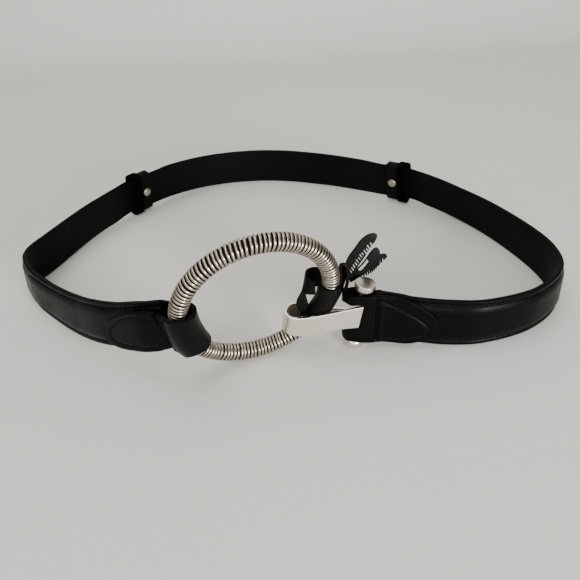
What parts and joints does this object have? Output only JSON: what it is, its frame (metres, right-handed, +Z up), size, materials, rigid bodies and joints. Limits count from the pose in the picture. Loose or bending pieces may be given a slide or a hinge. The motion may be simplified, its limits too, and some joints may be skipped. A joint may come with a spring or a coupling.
{
  "type": "leather belt",
  "caption": "Black leather belt that closes at the front with a wire-wound metal ring and a flat metal hook, with a thong tied round the ring.",
  "frame": {"origin": "on the floor, under the middle of the belt's box as it stands on its edge", "axes": "+X from the belt's left side to its right side as seen from the front, +Y from the ring and hook at the front to the back strap, +Z up"},
  "size_m": [0.3139, 0.2485, 0.0807],
  "materials": {
    "black_leather": "satin",
    "silver_fittings": "satin",
    "wound_wire": "antiqued"
  },
  "bodies": {
    "root": {"strap_left": "black_leather", "strap_right": "black_leather", "strap_back": "black_leather", "keeper_left": "black_leather", "keeper_right": "black_leather", "stud_left": "silver_fittings", "stud_right": "silver_fittings", "tab_left": "black_leather", "ring": "wound_wire", "hook": "silver_fittings", "pin": "silver_fittings", "tab_right": "black_leather", "ring_wrap": "black_leather", "thong_curl": "black_leather", "thong_fold": "black_leather", "knot_band": "black_leather", "tail_long": "black_leather", "tail_mid": "black_leather", "tail_back": "black_leather"}
  },
  "joints": []
}
